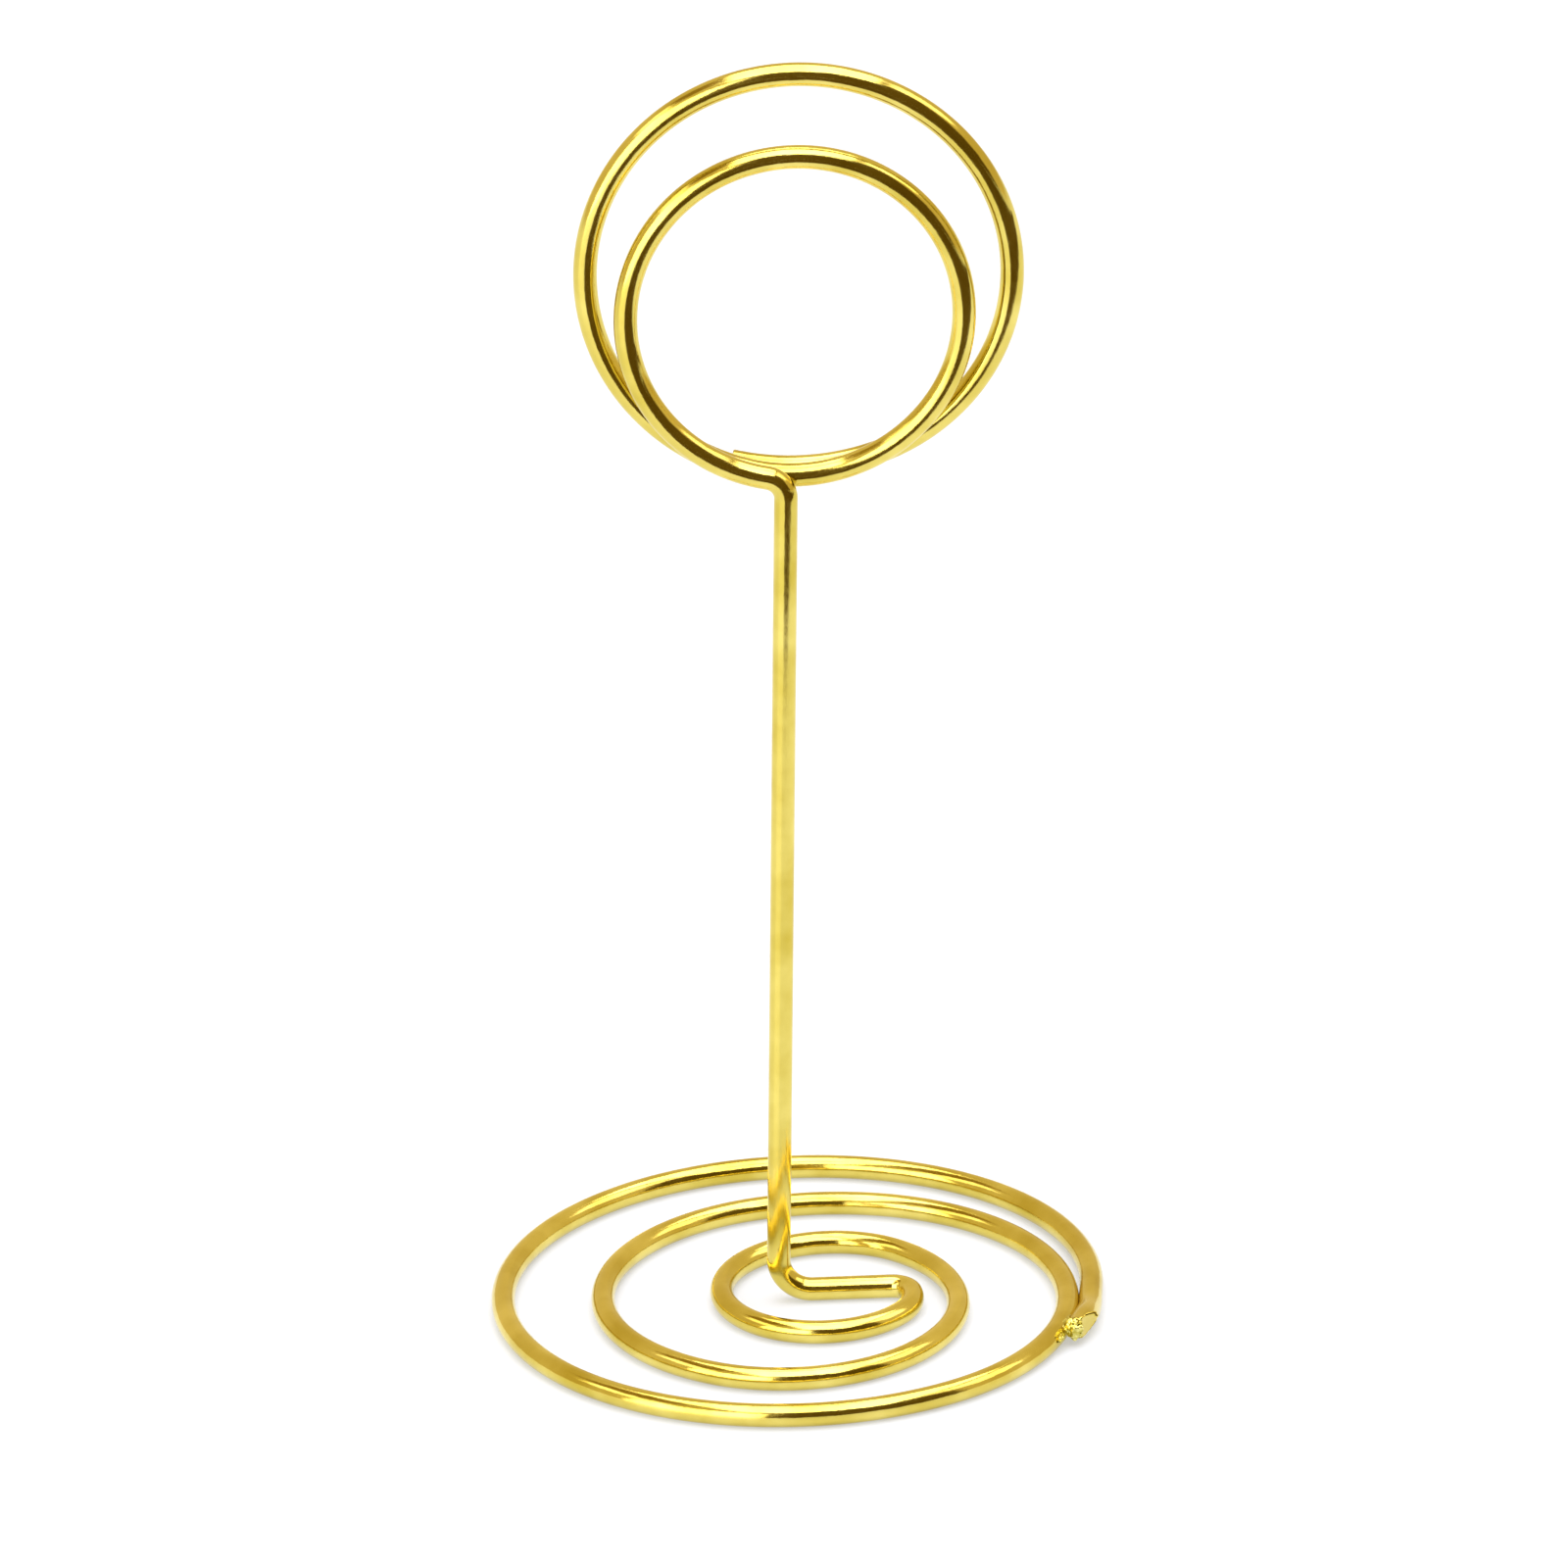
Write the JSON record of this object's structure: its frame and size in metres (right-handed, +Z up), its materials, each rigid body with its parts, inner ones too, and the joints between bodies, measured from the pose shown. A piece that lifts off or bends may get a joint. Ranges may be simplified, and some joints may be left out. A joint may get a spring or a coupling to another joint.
{
  "type": "table number holder",
  "caption": "Gold wire table number holder: a flat coiled base, a tall stem and two overlapping rings that clip a card.",
  "frame": {"origin": "on the table, at the centre of the outer base ring", "axes": "+Z up the stem, +X towards the cut end of the base wire, +Y away from the reader, from the front ring to the rear ring"},
  "size_m": [0.039, 0.039, 0.0834],
  "materials": {
    "gold_wire": "polished gold plating on round wire",
    "weld": "gold plated weld, slightly rough"
  },
  "bodies": {
    "holder": {"base_outer_turn": "gold_wire", "base_middle_turn": "gold_wire", "base_inner_turn": "gold_wire", "hairpin_bend": "gold_wire", "foot_leg": "gold_wire", "foot_bend": "gold_wire", "stem": "gold_wire", "neck_bend": "gold_wire", "clip_front_ring": "gold_wire", "weld_bead": "weld"},
    "rear_ring": {"clip_rear_ring": "gold_wire"}
  },
  "joints": [
    {"name": "clip_spread", "type": "hinge", "parent": "holder", "child": "rear_ring", "pos_m": [-0.0007, 0.0015, 0.05639], "axis": [-1, 0, 0], "range_deg": [0, 6], "stiffness_Nm_per_rad": 0.975}
  ]
}
